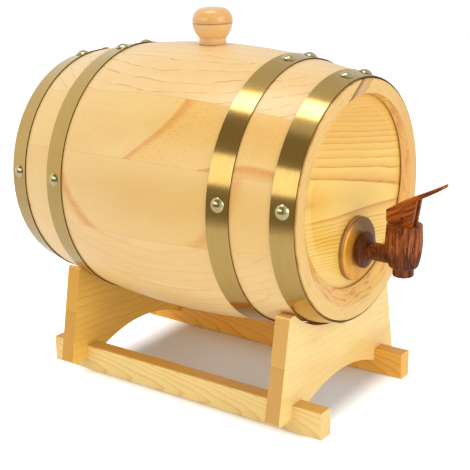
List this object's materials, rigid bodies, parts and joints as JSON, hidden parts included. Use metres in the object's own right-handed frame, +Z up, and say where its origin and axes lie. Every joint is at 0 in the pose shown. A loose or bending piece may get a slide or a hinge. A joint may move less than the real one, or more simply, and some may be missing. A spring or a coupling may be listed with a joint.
{
  "type": "wine barrel",
  "caption": "Small varnished wooden wine barrel lying on a two-cradle stand, with metal hoops held by domed nails, a turned bung on top and a lever tap in the front head.",
  "frame": {"origin": "on the floor under the middle of the whole object's bounding box", "axes": "+X along the barrel towards the tap, +Y to the left seen from behind the barrel, +Z up"},
  "size_m": [0.3313, 0.21, 0.2944],
  "materials": {
    "stave_wood": "clear semi-gloss varnish over pale pine",
    "head_wood": "clear semi-gloss varnish over warm pine",
    "bung_wood": "gloss varnish on turned wood",
    "stand_wood": "clear satin varnish over pale pine",
    "hoop_metal": "antique brass plated steel band, satin",
    "nail_metal": "polished pale brass",
    "rosette_metal": "polished",
    "washer_metal": "satin",
    "tap_plastic": "wood-look moulding, semi-gloss",
    "tap_steel": "plain",
    "screw_steel": "zinc plated",
    "seal_rubber": "translucent silicone"
  },
  "bodies": {
    "stand": {"cradle_front_lower_board": "stand_wood", "cradle_front_upper_board": "stand_wood", "cradle_rear_lower_board": "stand_wood", "cradle_rear_upper_board": "stand_wood", "rail_left": "stand_wood", "rail_right": "stand_wood", "stand_screws": "screw_steel"},
    "barrel": {"stave_01": "stave_wood", "stave_02": "stave_wood", "stave_03": "stave_wood", "stave_04": "stave_wood", "stave_05": "stave_wood", "stave_06": "stave_wood", "stave_07": "stave_wood", "stave_08": "stave_wood", "stave_09": "stave_wood", "stave_10": "stave_wood", "stave_11": "stave_wood", "stave_12": "stave_wood", "stave_13": "stave_wood", "stave_14": "stave_wood", "stave_15": "stave_wood", "head_front": "head_wood", "head_rear": "head_wood", "hoop_front_end": "hoop_metal", "hoop_front_inner": "hoop_metal", "hoop_rear_inner": "hoop_metal", "hoop_rear_end": "hoop_metal", "nails_front_end": "nail_metal", "nails_front_inner": "nail_metal", "nails_rear_inner": "nail_metal", "nails_rear_end": "nail_metal", "tap_washer": "washer_metal", "tap_rosette": "rosette_metal", "tap_body": "tap_plastic", "tap_bonnet": "tap_plastic", "tap_spring": "tap_steel", "tap_inner_seal": "seal_rubber", "tap_nut": "tap_plastic"},
    "bung": {"bung": "bung_wood"},
    "valve_stem": {"tap_stem": "tap_steel", "tap_plug": "seal_rubber", "lever_pin": "tap_steel"},
    "lever": {"tap_lever": "tap_plastic"}
  },
  "joints": [
    {"name": "barrel_lift", "type": "slide", "parent": "stand", "child": "barrel", "axis": [0, 0, 1], "range_m": [0, 0.08]},
    {"name": "bung_lift", "type": "slide", "parent": "barrel", "child": "bung", "axis": [0, 0, 1], "range_m": [0, 0.045]},
    {"name": "stem_lift", "type": "slide", "parent": "barrel", "child": "valve_stem", "axis": [0, 0, 1], "range_m": [0, 0.00447], "stiffness_N_per_m": 50, "springref_m": -0.01, "deforming": ["tap_spring"]},
    {"name": "lever_flip", "type": "hinge", "parent": "valve_stem", "child": "lever", "pos_m": [0.1344, 0, 0.15565], "axis": [0, -1, 0], "range_deg": [0, 32]}
  ],
  "couplings": [
    {"joint": "lever_flip", "follows": "stem_lift", "rad_per_m": 125}
  ]
}
